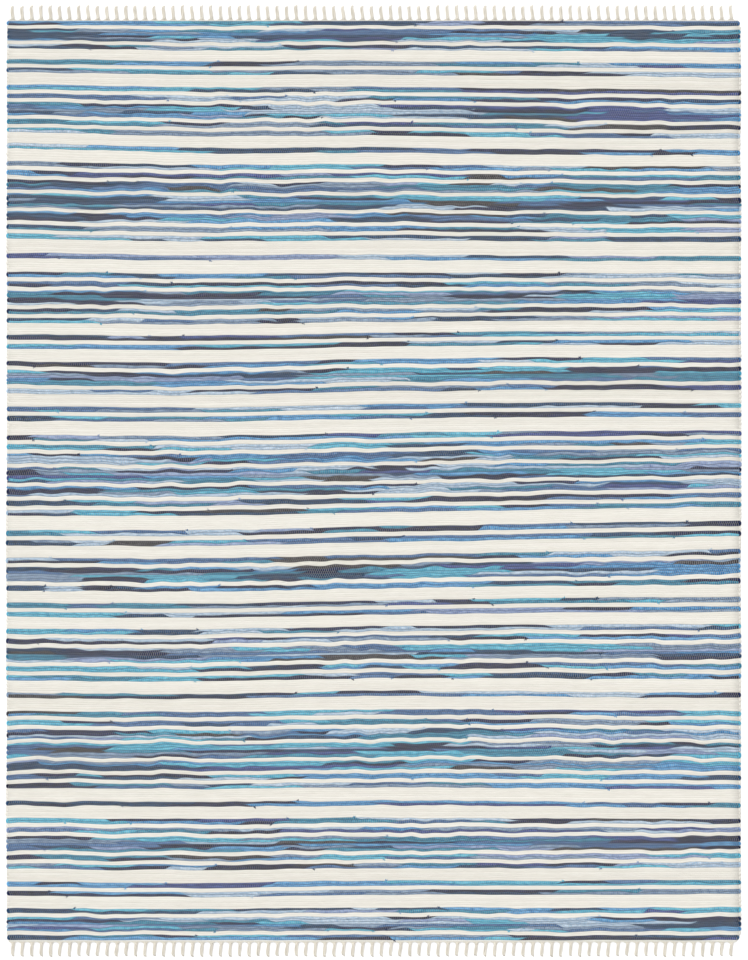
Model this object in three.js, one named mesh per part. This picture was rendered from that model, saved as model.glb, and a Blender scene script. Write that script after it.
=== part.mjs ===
// A handwoven rag rug lying flat, face up, with a knotted fringe at both ends.
// Millimetres, +X to the right, +Y towards the head end, +Z up, the floor at z = 0,
// the origin on the floor under the middle of the rug.
import * as THREE from "three";

// overall cloth, without the fringe
const clothWidth = 2438;
const clothLength = 3062;
const groundHeight = 5;
const ribHeight = 7;
const ribValley = 6.2;
const selvedgeRound = 3.5;
const selvedgeTuck = 1.2;

// the strip of warp ends that holds the tassels, just past each end of the cloth
const stripWidth = 2.7;
const stripGap = 0.3;

// plain ground before the first band at the head end
const headMargin = 5.5;

// what each kind of band holds, in the proportions that it keeps when a group is beaten
// closer or looser. ribs is the number of raised rag rounds in it.
const bandSizes = {
  n: { width: 17.1, ribs: 1 },
  w: { width: 46.8, ribs: 3 },
  a: { width: 32.0, ribs: 2 },
  b: { width: 47.8, ribs: 3 },
  c: { width: 30.9, ribs: 2 },
};
const smallGap = 13.1;
const innerGap = 11.8;

// The groups of bands from head to foot. span is the group's length along the rug and gap
// the plain ground after it. The next five columns tell how far the group wanders towards
// the head at the five places of wanderAt, and the last two how far each selvedge stands
// out beside it.
const wanderAt = [-1165, -597, 0, 597, 1165];
const groupColumns = [
  "bands", "span", "gap", "farLeft", "nearLeft", "middle", "nearRight", "farRight",
  "leftEdge", "rightEdge",
];
const groupRows = [
  ["nwn", 98, 37, 5, 0, 3, -2, -4, -2, -2],
  ["nn", 45, 41, 10, 1, 2, -3, -7, 0, 0],
  ["nnwnn", 162, 39, 12, 1, 2, -5, -10, -1, 0],
  ["n", 18, 38, 15, 0, 2, -5, -6, -1, -3],
  ["nnabcnn", 252, 47, 6, -1, 2, -3, -6, 0, 1],
  ["n", 17, 43, 6, -3, 1, -3, -4, 1, 0],
  ["nnwnn", 164, 37, 1, -5, 0, 3, 1, -1, 0],
  ["nn", 46, 41, -5, -9, 1, 7, 8, 0, 0],
  ["nwn", 108, 43, -7, -10, 1, 7, 9, 0, 1],
  ["nn", 48, 47, -5, -8, 2, 8, 6, -1, 1],
  ["nnabcnn", 262, 47, -7, -9, -1, 8, 13, 0, 1],
  ["nn", 52, 42, -13, -13, 0, 10, 20, 2, 1],
  ["nwn", 112, 40, -8, -12, -2, 9, 16, 2, -2],
  ["nn", 48, 39, -7, -10, 0, 8, 11, 0, -1],
  ["nnwnn", 176, 42, -4, -8, 2, 4, 6, 2, 1],
  ["n", 17, 44, -1, -5, 5, 2, -1, 0, 0],
  ["nnabcnn", 258, 44, -1, -3, 3, 2, 0, 0, 0],
  ["n", 16, 40, 1, -1, 3, -1, -5, 2, -1],
  ["nnwnn", 167, 42, 1, -3, 0, 0, 0, 1, -1],
  ["nn", 47, 42, -2, -7, 2, 2, 5, -1, 0],
  ["nwn", 107, 8, 0, -2, 0, 0, 0, 0, 1],
];

// how far each corner of the cloth draws in, and over what length of the selvedge
const cornerDraw = {
  headLeft: { inward: 11, over: 14 },
  headRight: { inward: 11, over: 30 },
  footLeft: { inward: 9, over: 35 },
  footRight: { inward: 17, over: 40 },
};

// the tassels: a knot against the cloth, a waist, a belly and a slanting cut tip. out is
// the distance from the strip, width and height the size there, and shift how far it leans
// to the right.
const tasselCount = 77;
const tasselPitch = 31.36;
const headFirstTassel = -1199;
const footFirstTassel = -1198;
const tasselSections = [
  { out: 0, width: 8.5, height: 4.2, shift: 1.7 },
  { out: 4.5, width: 14, height: 9, shift: 1.7 },
  { out: 11.5, width: 9.5, height: 6, shift: 1 },
  { out: 28, width: 12, height: 6.4, shift: -0.4 },
  { out: 44.5, width: 9.5, height: 4, shift: -0.6 },
];
const tipSlant = 3.2;
const topNarrowing = 0.72;
const tasselLengthSpread = 2.2;
const tasselLeanSpread = 1.6;
const stripBackPoints = 8;

const halfWidth = clothWidth / 2;
const halfLength = clothLength / 2;
const fieldEnd = halfLength - stripWidth - stripGap;
const crossPlaces = [-900, -597, -300, 0, 300, 597, 900];

// each group as an object with its place along the rug
function layOutGroups() {
  const listed = [];
  const planned = groupRows.reduce((sum, [, span, gap]) => sum + span + gap, 0);
  const fit = (clothLength - headMargin) / planned;
  let y = halfLength - headMargin;
  for (const values of groupRows) {
    const group = {};
    groupColumns.forEach((name, index) => {
      group[name] = values[index];
    });
    group.span *= fit;
    group.gap *= fit;
    group.head = y;
    group.centre = y - group.span / 2;
    group.wander = [
      group.farLeft, group.nearLeft, group.middle, group.nearRight, group.farRight,
    ];
    listed.push(group);
    y -= group.span + group.gap;
  }
  return listed;
}

const groups = layOutGroups();

// a smooth curve through five values at the places of wanderAt
function acrossRug(values, x) {
  if (x <= wanderAt[0]) return values[0];
  const last = wanderAt.length - 1;
  if (x >= wanderAt[last]) return values[last];
  let index = 0;
  while (x > wanderAt[index + 1]) index += 1;
  const t = (x - wanderAt[index]) / (wanderAt[index + 1] - wanderAt[index]);
  const before = values[Math.max(index - 1, 0)];
  const after = values[Math.min(index + 2, last)];
  const from = values[index];
  const to = values[index + 1];
  const slopeFrom = (to - before) / 2;
  const slopeTo = (after - from) / 2;
  const t2 = t * t;
  const t3 = t2 * t;
  return (2 * t3 - 3 * t2 + 1) * from + (t3 - 2 * t2 + t) * slopeFrom
    + (3 * t2 - 2 * t3) * to + (t3 - t2) * slopeTo;
}

// a value between the groups' centres, fading to nothing at the two ends of the cloth
function alongRug(y, valueOf) {
  const stations = [{ y: fieldEnd, value: 0 }];
  for (const group of groups) stations.push({ y: group.centre, value: valueOf(group) });
  stations.push({ y: -fieldEnd, value: 0 });
  for (let index = 0; index < stations.length - 1; index += 1) {
    const upper = stations[index];
    const lower = stations[index + 1];
    if (y <= upper.y && y >= lower.y) {
      const t = (upper.y - y) / (upper.y - lower.y);
      return upper.value + (lower.value - upper.value) * t;
    }
  }
  return 0;
}

function wanderOf(y, x) {
  return alongRug(y, (group) => acrossRug(group.wander, x));
}

function cornerInset(distance, corner) {
  if (distance >= corner.over) return 0;
  const t = 1 - Math.max(distance, 0) / corner.over;
  return corner.inward * t * t;
}

// where the two selvedges run at a place along the rug
function leftSelvedge(y) {
  const bulge = alongRug(y, (group) => group.leftEdge);
  return -halfWidth - bulge + cornerInset(halfLength - y, cornerDraw.headLeft)
    + cornerInset(halfLength + y, cornerDraw.footLeft);
}

function rightSelvedge(y) {
  const bulge = alongRug(y, (group) => group.rightEdge);
  return halfWidth + bulge - cornerInset(halfLength - y, cornerDraw.headRight)
    - cornerInset(halfLength + y, cornerDraw.footRight);
}

// the cloth's lines of points from head to foot: an edge, crowns with valleys between
// them and an edge for every band, and one line at each end of the cloth
function layOutLines() {
  const lines = [{ y: fieldEnd, height: groundHeight }];
  for (const group of groups) {
    const bands = [...group.bands];
    const gapAfter = (index) => {
      const inside = "ab".includes(bands[index]) && "bc".includes(bands[index + 1]);
      return inside ? innerGap : smallGap;
    };
    let planned = 0;
    bands.forEach((band, index) => {
      planned += bandSizes[band].width;
      if (index < bands.length - 1) planned += gapAfter(index);
    });
    const beat = group.span / planned;
    let y = group.head;
    bands.forEach((band, index) => {
      const { width, ribs } = bandSizes[band];
      const step = (width * beat) / (2 * ribs);
      lines.push({ y, height: groundHeight });
      for (let part = 1; part < 2 * ribs; part += 1) {
        const height = part % 2 === 1 ? ribHeight : ribValley;
        lines.push({ y: y - part * step, height });
      }
      y -= width * beat;
      lines.push({ y, height: groundHeight });
      if (index < bands.length - 1) y -= gapAfter(index) * beat;
    });
  }
  lines.push({ y: -fieldEnd, height: groundHeight });
  return lines;
}

function meshFrom(points, triangles) {
  const geometry = new THREE.BufferGeometry();
  geometry.setAttribute("position", new THREE.Float32BufferAttribute(points.flat(), 3));
  geometry.setIndex(triangles.flat());
  geometry.computeVertexNormals();
  return geometry;
}

// The woven cloth as one closed solid. Each line of points runs from the left foot of the
// selvedge over the top to the right foot, and the underside joins the feet.
function buildField() {
  const points = [];
  const triangles = [];
  const lines = layOutLines();
  const places = crossPlaces.length + 6;
  for (const line of lines) {
    const left = leftSelvedge(line.y);
    const right = rightSelvedge(line.y);
    const row = [
      [left + selvedgeTuck, 0],
      [left, groundHeight * 0.5],
      [left + selvedgeRound, line.height],
      ...crossPlaces.map((x) => [x, line.height]),
      [right - selvedgeRound, line.height],
      [right, groundHeight * 0.5],
      [right - selvedgeTuck, 0],
    ];
    for (const [x, z] of row) points.push([x, line.y + wanderOf(line.y, x), z]);
  }
  const at = (line, place) => line * places + place;
  for (let line = 0; line < lines.length - 1; line += 1) {
    for (let place = 0; place < places - 1; place += 1) {
      const a = at(line, place);
      const b = at(line + 1, place);
      const c = at(line + 1, place + 1);
      const d = at(line, place + 1);
      triangles.push([a, b, c], [a, c, d]);
    }
    const a = at(line, places - 1);
    const b = at(line + 1, places - 1);
    const c = at(line + 1, 0);
    const d = at(line, 0);
    triangles.push([a, b, c], [a, c, d]);
  }
  const foot = lines.length - 1;
  for (let place = 1; place < places - 1; place += 1) {
    triangles.push([at(0, 0), at(0, place), at(0, place + 1)]);
    triangles.push([at(foot, 0), at(foot, place + 1), at(foot, place)]);
  }
  return meshFrom(points, triangles);
}

// an even scatter between -1 and 1 that is the same on every run
function scatter(index, salt) {
  const value = Math.sin(index * 12.9898 + salt * 78.233) * 43758.5453;
  return 2 * (value - Math.floor(value)) - 1;
}

// One end's fringe as one closed solid: a strip of warp ends against the cloth, and the
// tassels that grow out of its outer wall. side is 1 at the head end and -1 at the foot.
// Corners are listed as they run round each face at the head end, seen from outside, and
// the foot end's are turned over.
function buildFringe(side, firstTassel, leftEnd, rightEnd) {
  const points = [];
  const triangles = [];
  const add = (x, out, z) => {
    points.push([x, side * (halfLength + out), z]);
    return points.length - 1;
  };
  const face = (...corners) => {
    for (let index = 1; index < corners.length - 1; index += 1) {
      const triangle = [corners[0], corners[index], corners[index + 1]];
      triangles.push(side > 0 ? triangle : triangle.reverse());
    }
  };
  const leftWall = { foot: add(leftEnd, 0, 0), top: add(leftEnd, 0, groundHeight) };
  const rightWall = { foot: add(rightEnd, 0, 0), top: add(rightEnd, 0, groundHeight) };
  const outerFoot = [leftWall.foot];
  const outerTop = [leftWall.top];
  let previous = leftWall;
  for (let tassel = 0; tassel < tasselCount; tassel += 1) {
    const rings = tasselRings(side, firstTassel, tassel, add);
    for (let index = 0; index < rings.length - 1; index += 1) {
      const from = rings[index];
      const to = rings[index + 1];
      for (let corner = 0; corner < 4; corner += 1) {
        const next = (corner + 1) % 4;
        face(from[next], from[corner], to[corner], to[next]);
      }
    }
    face(...rings[rings.length - 1].reverse());
    // the wall between the tassel before and this one, then the wall above the root
    const root = rings[0];
    const leftTop = add(points[root[3]][0], 0, groundHeight);
    const rightTop = add(points[root[2]][0], 0, groundHeight);
    const sideways = previous.inner ? [previous.foot, previous.inner] : [previous.foot];
    face(root[3], root[0], ...sideways, previous.top, leftTop);
    face(root[3], leftTop, rightTop, root[2]);
    outerFoot.push(root[0], root[1]);
    outerTop.push(leftTop, rightTop);
    previous = { foot: root[1], inner: root[2], top: rightTop };
  }
  face(previous.inner, previous.top, rightWall.top, rightWall.foot, previous.foot);
  outerFoot.push(rightWall.foot);
  outerTop.push(rightWall.top);
  // the inner wall needs few points, and the top and the underside join it to the outer
  const innerFoot = [];
  const innerTop = [];
  const last = stripBackPoints - 1;
  for (let index = 0; index <= last; index += 1) {
    const x = leftEnd + ((rightEnd - leftEnd) * index) / last;
    innerFoot.push(add(x, -stripWidth, 0));
    innerTop.push(add(x, -stripWidth, groundHeight));
  }
  for (let index = 0; index < last; index += 1) {
    face(innerFoot[index], innerFoot[index + 1], innerTop[index + 1], innerTop[index]);
  }
  face(leftWall.foot, innerFoot[0], innerTop[0], leftWall.top);
  face(innerFoot[last], rightWall.foot, rightWall.top, innerTop[last]);
  for (const [outer, inner] of [[outerTop, innerTop], [outerFoot, innerFoot]]) {
    const underside = outer === outerFoot;
    let near = 0;
    let far = 0;
    while (near < last || far < outer.length - 1) {
      const nearNext = near < last ? points[inner[near + 1]][0] : Infinity;
      const farNext = far < outer.length - 1 ? points[outer[far + 1]][0] : Infinity;
      const corners = farNext <= nearNext
        ? [inner[near], outer[far + 1], outer[far]]
        : [inner[near], inner[near + 1], outer[far]];
      if (farNext <= nearNext) far += 1;
      else near += 1;
      face(...(underside ? corners.reverse() : corners));
    }
  }
  return meshFrom(points, triangles);
}

// a tassel's rings of four points from its root to its tip: left foot, right foot, right
// top and left top. Each tassel's length and lean differ a little.
function tasselRings(side, firstTassel, tassel, add) {
  const tipOut = tasselSections[tasselSections.length - 1].out;
  const centre = firstTassel + tassel * tasselPitch;
  const stretch = 1 + (tasselLengthSpread * scatter(tassel, side + 3)) / tipOut;
  const lean = tasselLeanSpread * scatter(tassel, side + 7);
  return tasselSections.map((section, index) => {
    const share = section.out / tipOut;
    const away = section.out * (1 + (stretch - 1) * share);
    const middle = centre + section.shift + lean * share * share;
    const half = section.width / 2;
    const slant = index === tasselSections.length - 1 ? tipSlant / 2 : 0;
    return [
      add(middle - half, away - slant, 0),
      add(middle + half, away + slant, 0),
      add(middle + half * topNarrowing, away + slant, section.height),
      add(middle - half * topNarrowing, away - slant, section.height),
    ];
  });
}

function addPiece(group, name, geometry, color) {
  const material = new THREE.MeshStandardMaterial({ color, roughness: 0.95, metalness: 0 });
  const mesh = new THREE.Mesh(geometry, material);
  mesh.name = name;
  group.add(mesh);
}

const rug = new THREE.Group();
addPiece(rug, "field", buildField(), 0xb6bcc4);
for (const [name, side, firstTassel] of [
  ["fringe_head", 1, headFirstTassel],
  ["fringe_foot", -1, footFirstTassel],
]) {
  const leftEnd = leftSelvedge(side * halfLength) + selvedgeTuck;
  const rightEnd = rightSelvedge(side * halfLength) - selvedgeTuck;
  addPiece(rug, name, buildFringe(side, firstTassel, leftEnd, rightEnd), 0xe1ddd4);
}

// the uneven edges leave the box a hair off centre, so the whole rug is set over its origin
const middle = new THREE.Box3().setFromObject(rug).getCenter(new THREE.Vector3());
rug.position.set(-middle.x, -middle.y, 0);

export default rug;
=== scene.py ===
import bpy
import numpy as np
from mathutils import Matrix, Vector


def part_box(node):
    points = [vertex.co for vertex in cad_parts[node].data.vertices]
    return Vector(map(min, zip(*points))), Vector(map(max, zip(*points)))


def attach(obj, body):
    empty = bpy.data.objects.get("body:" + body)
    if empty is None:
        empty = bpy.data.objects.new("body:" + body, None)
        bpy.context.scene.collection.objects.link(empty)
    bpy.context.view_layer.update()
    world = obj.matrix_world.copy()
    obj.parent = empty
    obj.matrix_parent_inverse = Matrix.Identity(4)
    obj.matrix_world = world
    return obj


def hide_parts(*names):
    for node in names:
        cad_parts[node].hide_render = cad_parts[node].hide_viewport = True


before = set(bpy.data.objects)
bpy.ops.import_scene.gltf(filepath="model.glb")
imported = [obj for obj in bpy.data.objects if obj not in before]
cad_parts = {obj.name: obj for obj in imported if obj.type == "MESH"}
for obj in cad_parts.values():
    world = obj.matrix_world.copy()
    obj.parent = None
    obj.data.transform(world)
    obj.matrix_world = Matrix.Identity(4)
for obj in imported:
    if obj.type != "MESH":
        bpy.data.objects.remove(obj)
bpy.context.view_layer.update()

cloth = {
    "width": 2.438,
    "length": 3.062,
    "warpStrip": 0.003,  # bare warp past each end of the weft
    "headMargin": 0.0055,
    "middleHeight": 0.0035,  # the weave's middle layer over the floor
    "warpPitch": 0.006632,  # from one float to the next on the same pick
    "floatsFrom": -0.00096,  # where one of them lies across the rug
    "gridStep": 0.008,
    "gridPast": (0.004, 0.012),  # beyond the left and the right selvedge
    "offCentre": 0.0005,  # the selvedges aren't quite even, so the frame sits a hair off
    "seed": 41,
}

# the bands of rag, in mm: how wide each kind is beaten and how many picks it holds
bandPlan = {
    "n": {"width": 17.1, "picks": 2},
    "w": {"width": 46.8, "picks": 6},
    "a": {"width": 32.0, "picks": 4},
    "b": {"width": 47.8, "picks": 6},
    "c": {"width": 30.9, "picks": 4},
    "smallGap": 13.1,
    "innerGap": 11.8,
    "groundPick": 6.9,
}

# The groups of bands from head to foot, in mm: how long each is, the plain ground after
# it, how far it wanders towards the head at five places across the rug, and how far each
# selvedge stands out beside it.
wanderAt = [-1.165, -0.597, 0.0, 0.597, 1.165]
groupTable = [
    # bands, span, gap, farLeft, nearLeft, middle, nearRight, farRight, leftEdge, rightEdge
    ("nwn", 98, 37, 5, 0, 3, -2, -4, -2, -2),
    ("nn", 45, 41, 10, 1, 2, -3, -7, 0, 0),
    ("nnwnn", 162, 39, 12, 1, 2, -5, -10, -1, 0),
    ("n", 18, 38, 15, 0, 2, -5, -6, -1, -3),
    ("nnabcnn", 252, 47, 6, -1, 2, -3, -6, 0, 1),
    ("n", 17, 43, 6, -3, 1, -3, -4, 1, 0),
    ("nnwnn", 164, 37, 1, -5, 0, 3, 1, -1, 0),
    ("nn", 46, 41, -5, -9, 1, 7, 8, 0, 0),
    ("nwn", 108, 43, -7, -10, 1, 7, 9, 0, 1),
    ("nn", 48, 47, -5, -8, 2, 8, 6, -1, 1),
    ("nnabcnn", 262, 47, -7, -9, -1, 8, 13, 0, 1),
    ("nn", 52, 42, -13, -13, 0, 10, 20, 2, 1),
    ("nwn", 112, 40, -8, -12, -2, 9, 16, 2, -2),
    ("nn", 48, 39, -7, -10, 0, 8, 11, 0, -1),
    ("nnwnn", 176, 42, -4, -8, 2, 4, 6, 2, 1),
    ("n", 17, 44, -1, -5, 5, 2, -1, 0, 0),
    ("nnabcnn", 258, 44, -1, -3, 3, 2, 0, 0, 0),
    ("n", 16, 40, 1, -1, 3, -1, -5, 2, -1),
    ("nnwnn", 167, 42, 1, -3, 0, 0, 0, 1, -1),
    ("nn", 47, 42, -2, -7, 2, 2, 5, -1, 0),
    ("nwn", 107, 8, 0, -2, 0, 0, 0, 0, 1),
]
# how far each corner draws in, and over what length of the selvedge, in mm
cornerDraw = {
    "headLeft": (11, 14),
    "headRight": (11, 30),
    "footLeft": (9, 35),
    "footRight": (17, 40),
}

rng = np.random.default_rng(cloth["seed"])
halfWidth = cloth["width"] / 2
halfLength = cloth["length"] / 2
weftEnd = halfLength - cloth["warpStrip"]

# from the plan's middle to the frame's
fieldLow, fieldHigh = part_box("field")
planShift = np.array(
    [(fieldLow.x + fieldHigh.x) / 2 + cloth["offCentre"], (fieldLow.y + fieldHigh.y) / 2, 0.0]
)


# A smooth curve through the wander's five values: a cubic between each two, its slope at
# each place the mean of the slopes on both sides.
def acrossRug(values, x):
    at = np.array(wanderAt)
    values = np.asarray(values, float)
    slopes = np.gradient(values, at)
    inside = np.clip(x, at[0], at[-1])
    i = np.clip(np.searchsorted(at, inside, side="right") - 1, 0, len(at) - 2)
    width = at[i + 1] - at[i]
    t = (inside - at[i]) / width
    return (
        (2 * t**3 - 3 * t**2 + 1) * values[i]
        + (t**3 - 2 * t**2 + t) * slopes[i] * width
        + (3 * t**2 - 2 * t**3) * values[i + 1]
        + (t**3 - t**2) * slopes[i + 1] * width
    )


# Rows of soft noise along x: each the sum of six sines of random length and phase, scaled
# to a spread of about 1.
def softNoise(rows, x, shortest, longest, terms=6):
    lengths = np.exp(rng.uniform(np.log(shortest), np.log(longest), (rows, terms, 1)))
    phases = rng.uniform(0, 2 * np.pi, (rows, terms, 1))
    waves = np.sin(2 * np.pi * x[None, None, :] / lengths + phases)
    return waves.sum(axis=1) * np.sqrt(2 / terms)


# Every pick from head to foot with its place, and the lines that hold the weave in place:
# the middle of every group and of every wide piece of ground.
def layOutPicks():
    picks, edges, anchors, centres = [], [weftEnd], [0], []
    planned = sum(row[1] + row[2] for row in groupTable)
    fit = (cloth["length"] - cloth["headMargin"]) / planned

    def lay(kind, count, thickness, band=None):
        for lane in range(count):
            picks.append({"kind": kind, "band": band, "lane": lane, "of": count})
            edges.append(edges[-1] - thickness / count)

    lay("ground", 1, cloth["headMargin"] - cloth["warpStrip"])
    bandIndex = 0
    for number, row in enumerate(groupTable):
        bands, span, gap = row[0], row[1] * fit, row[2] * fit
        inner = [pair in (("a", "b"), ("b", "c")) for pair in zip(bands, bands[1:])]
        gaps = [bandPlan["innerGap"] if i else bandPlan["smallGap"] for i in inner]
        beat = span / (sum(bandPlan[b]["width"] for b in bands) + sum(gaps))
        first = len(picks)
        for place, letter in enumerate(bands):
            plan = bandPlan[letter]
            lay("rag", plan["picks"], plan["width"] * beat, bandIndex)
            bandIndex += 1
            if place < len(gaps):
                lay("ground", 2, gaps[place] * beat)
        anchors.append((first + len(picks)) // 2)
        centres.append(edges[first] - span / 2)
        last = number == len(groupTable) - 1
        room = edges[-1] + weftEnd if last else gap
        count = max(1, int(round(room * 1000 / bandPlan["groundPick"])))
        if not last:
            anchors.append(len(picks) + count // 2)
        lay("ground", count, room)
    anchors.append(len(picks))
    return picks, np.array(edges), anchors, np.array(centres)


picks, pickEdges, anchorLines, groupCentres = layOutPicks()
pickCount = len(picks)
gridPast = cloth["gridPast"]
gridX = np.arange(-halfWidth - gridPast[0], halfWidth + gridPast[1], cloth["gridStep"])


# how far a line at y wanders at each x, from the groups' own wander
def wanderOf(y, x):
    rows = np.array([acrossRug(row[3:8], x) for row in groupTable]) / 1000
    stations = np.concatenate([[weftEnd], groupCentres, [-weftEnd]])
    rows = np.vstack([np.zeros_like(x), rows, np.zeros_like(x)])
    place = np.interp(-y, -stations, np.arange(len(stations)))
    low = np.clip(int(place), 0, len(stations) - 2)
    return rows[low] + (rows[low + 1] - rows[low]) * (place - low)


# where a selvedge runs: side is -1 for the left one and 1 for the right one
def selvedgeAt(y, side):
    column = 8 if side < 0 else 9
    bulge = [0] + [row[column] for row in groupTable] + [0]
    stations = np.concatenate([[weftEnd], groupCentres, [-weftEnd]])
    x = halfWidth + np.interp(-y, -stations, bulge) / 1000
    names = ("headLeft", "footLeft") if side < 0 else ("headRight", "footRight")
    for name, distance in zip(names, (halfLength - y, halfLength + y)):
        inward, over = cornerDraw[name]
        t = np.clip(1 - distance * 1000 / over, 0, 1)
        x = x - inward / 1000 * t**2
    return side * x


print("plan laid out,", pickCount, "picks")

# the rag strips: how long each runs before the next is laid in, how unlike each other in
# thickness they are, and how their ends overlap
ragStrips = {
    "firstStart": 0.3,  # how much of the first strip may lie before the band
    "shortest": 0.08,
    "longest": 1.0,
    "scrap": 0.07,  # a shorter piece of a pick joins its neighbour
    "typical": 0.26,
    "lengthSpread": 0.55,
    "likeNext": 0.30,
    "thicknessSpread": 0.22,
    "overlap": (0.018, 0.048),
    "overlapShare": 0.8,  # and at most this much of the shorter strip
    "bareEnd": 0.0015,
    "halfHeight": 0.0034,
    "spread": 1.05,  # of a pick's own room, so that picks press into each other
    "step": 0.018,
}
groundYarn = {
    "halfHeight": 0.0026,
    "spread": 1.35,
    "step": 0.032,
    "unevenness": 0.06,
    "bareEnd": 0.001,
}
# how uneven the lines between picks are: where a group's middle lies, how thick a band of
# rag is, and how its picks share it, each with its shortest and longest wave
waviness = {
    "anchor": 0.0006,
    "anchorWaves": (0.12, 0.9),
    "band": 0.15,
    "bandWaves": (0.15, 1.5),
    "pick": 0.24,
    "pickWaves": (0.07, 0.5),
    "strip": 0.06,
}

# the cloths that the strips were cut from: the share of the strips, and the darker and
# lighter sRGB tone of each
ragCloths = {
    "midnight": {"share": 0.145, "dark": (12, 16, 38), "light": (44, 54, 90)},
    "charcoal": {"share": 0.025, "dark": (32, 32, 39), "light": (80, 78, 83)},
    "ink": {"share": 0.100, "dark": (12, 38, 64), "light": (50, 83, 119)},
    "indigo": {"share": 0.035, "dark": (44, 55, 104), "light": (78, 95, 150)},
    "denim": {"share": 0.110, "dark": (46, 80, 122), "light": (93, 126, 167)},
    "azure": {"share": 0.130, "dark": (44, 108, 158), "light": (106, 163, 206)},
    "teal": {"share": 0.105, "dark": (30, 98, 128), "light": (79, 149, 175)},
    "turquoise": {"share": 0.125, "dark": (50, 138, 170), "light": (110, 186, 208)},
    "slate": {"share": 0.085, "dark": (88, 111, 140), "light": (141, 162, 184)},
    "periwinkle": {"share": 0.035, "dark": (102, 121, 161), "light": (154, 171, 201)},
    "mist": {"share": 0.090, "dark": (134, 160, 186), "light": (187, 203, 217)},
}


# Lays the rag strips into one band. The strips follow each other along one line that
# snakes through the band's picks, turning at the selvedges, and two picks make a ring.
# Returns for each pick its runs, each from one place to another with the strip it shows.
def layStrips(count, clothNames, clothShares):
    width = cloth["width"]
    total = count * width
    ends, kinds, lots, thick = [], [], [], []
    start = -rng.uniform(0, ragStrips["firstStart"])
    while start < total:
        length = ragStrips["typical"] * np.exp(rng.normal(0, ragStrips["lengthSpread"]))
        length = float(np.clip(length, ragStrips["shortest"], ragStrips["longest"]))
        start += length
        kind = rng.choice(len(clothNames), p=clothShares)
        while kinds and kind == kinds[-1]:
            kind = rng.choice(len(clothNames), p=clothShares)
        # now and then it is the cloth that lies beside its middle, one pick back
        middle = start - length / 2
        beside = np.searchsorted(ends, 2 * int(middle / width) * width - middle)
        if middle > width and beside < len(kinds) and rng.random() < ragStrips["likeNext"]:
            kind = kinds[beside]
        ends.append(start)
        kinds.append(int(kind))
        lots.append(rng.uniform())
        thick.append(float(np.exp(rng.normal(0, ragStrips["thicknessSpread"]))))
    if count == 2:  # a ring: what ends it also begins it
        kinds[-1], lots[-1], thick[-1] = kinds[0], lots[0], thick[0]
    runs = []
    for lane in range(count):
        here, place, strip = [], lane * width, 0
        while ends[strip] <= place:
            strip += 1
        while place < (lane + 1) * width - 1e-6:
            until = min(ends[strip], (lane + 1) * width)
            a, b = place - lane * width, until - lane * width
            if lane % 2:
                a, b = width - b, width - a
            here.append([a - width / 2, b - width / 2, kinds[strip], lots[strip], thick[strip]])
            place = until
            strip += 1
        here.sort()
        index = 0
        while index < len(here):
            if here[index][1] - here[index][0] < ragStrips["scrap"] and len(here) > 1:
                other = index - 1 if index else 1
                edge = 1 if index else 0
                here[other][edge] = here[index][edge]
                del here[index]
            else:
                index += 1
        runs.append(here)
    return runs


clothNames = list(ragCloths)
clothShares = np.array([ragCloths[name]["share"] for name in clothNames])
clothShares /= clothShares.sum()
for first, pick in enumerate(picks):
    if pick["kind"] == "rag" and pick["lane"] == 0:
        for lane, runs in enumerate(layStrips(pick["of"], clothNames, clothShares)):
            picks[first + lane]["runs"] = runs


# The lines between picks, a row for each and a column for each place across. Each pick's
# thickness is its plan's times its own soft noise and, in a rag, times its strip's. A band
# is then brought back close to its own plan, which leaves its edges calm and its inner
# lines lively. The picks between two anchored lines share the room in that proportion.
def weaveLines():
    planned = -np.diff(pickEdges)[:, None]
    thickness = planned * np.ones(len(gridX))
    noise = softNoise(pickCount, gridX, *waviness["pickWaves"])
    bandNoise = softNoise(pickCount, gridX, *waviness["bandWaves"])
    blur = np.array([1, 2, 3, 2, 1]) / 9  # softens the step from one strip to the next
    for index, pick in enumerate(picks):
        if pick["kind"] == "ground":
            thickness[index] *= np.exp(groundYarn["unevenness"] * noise[index])
            continue
        strip = np.ones(len(gridX))
        for a, b, _, _, thick in pick["runs"]:
            strip[(gridX >= a) & (gridX <= b)] = thick
        padded = np.pad(strip, 2, mode="edge")
        strip = np.convolve(padded, blur, mode="valid")
        thickness[index] *= np.exp(waviness["pick"] * noise[index]) * strip
        if pick["lane"] == pick["of"] - 1:
            band = slice(index + 1 - pick["of"], index + 1)
            grown = thickness[band].sum(axis=0) / planned[band].sum()
            uneven = waviness["band"] / pick["of"] * bandNoise[index]
            wanted = grown ** waviness["strip"] * np.exp(uneven)
            thickness[band] *= wanted / grown
    lines = np.zeros((pickCount + 1, len(gridX)))
    sway = softNoise(len(anchorLines), gridX, *waviness["anchorWaves"]) * waviness["anchor"]
    # both ends of the cloth are straight, and the lines next to them nearly so
    sway[[0, -1]] = 0
    sway[[1, -2]] *= 0.5
    held = [
        pickEdges[line] + wanderOf(pickEdges[line], gridX) + sway[number]
        for number, line in enumerate(anchorLines)
    ]
    for number in range(len(anchorLines) - 1):
        low, high = anchorLines[number], anchorLines[number + 1]
        share = np.cumsum(thickness[low:high], axis=0)
        share /= share[-1]
        lines[low] = held[number]
        lines[low + 1 : high + 1] = held[number] + (held[number + 1] - held[number]) * share
    return lines


lines = weaveLines()
print("weave lines worked out")

# a yarn's section, flattened: how far out and how far up each point of its ring lies
yarnSection = np.array(
    [[1.0, 0.0], [0.62, 1.0], [-0.62, 1.0], [-1.0, 0.0], [-0.62, -1.0], [0.62, -1.0]]
)
roundSection = np.array(
    [[np.cos(a), np.sin(a)] for a in np.linspace(0, 2 * np.pi, 6)[:5]]
)


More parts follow.
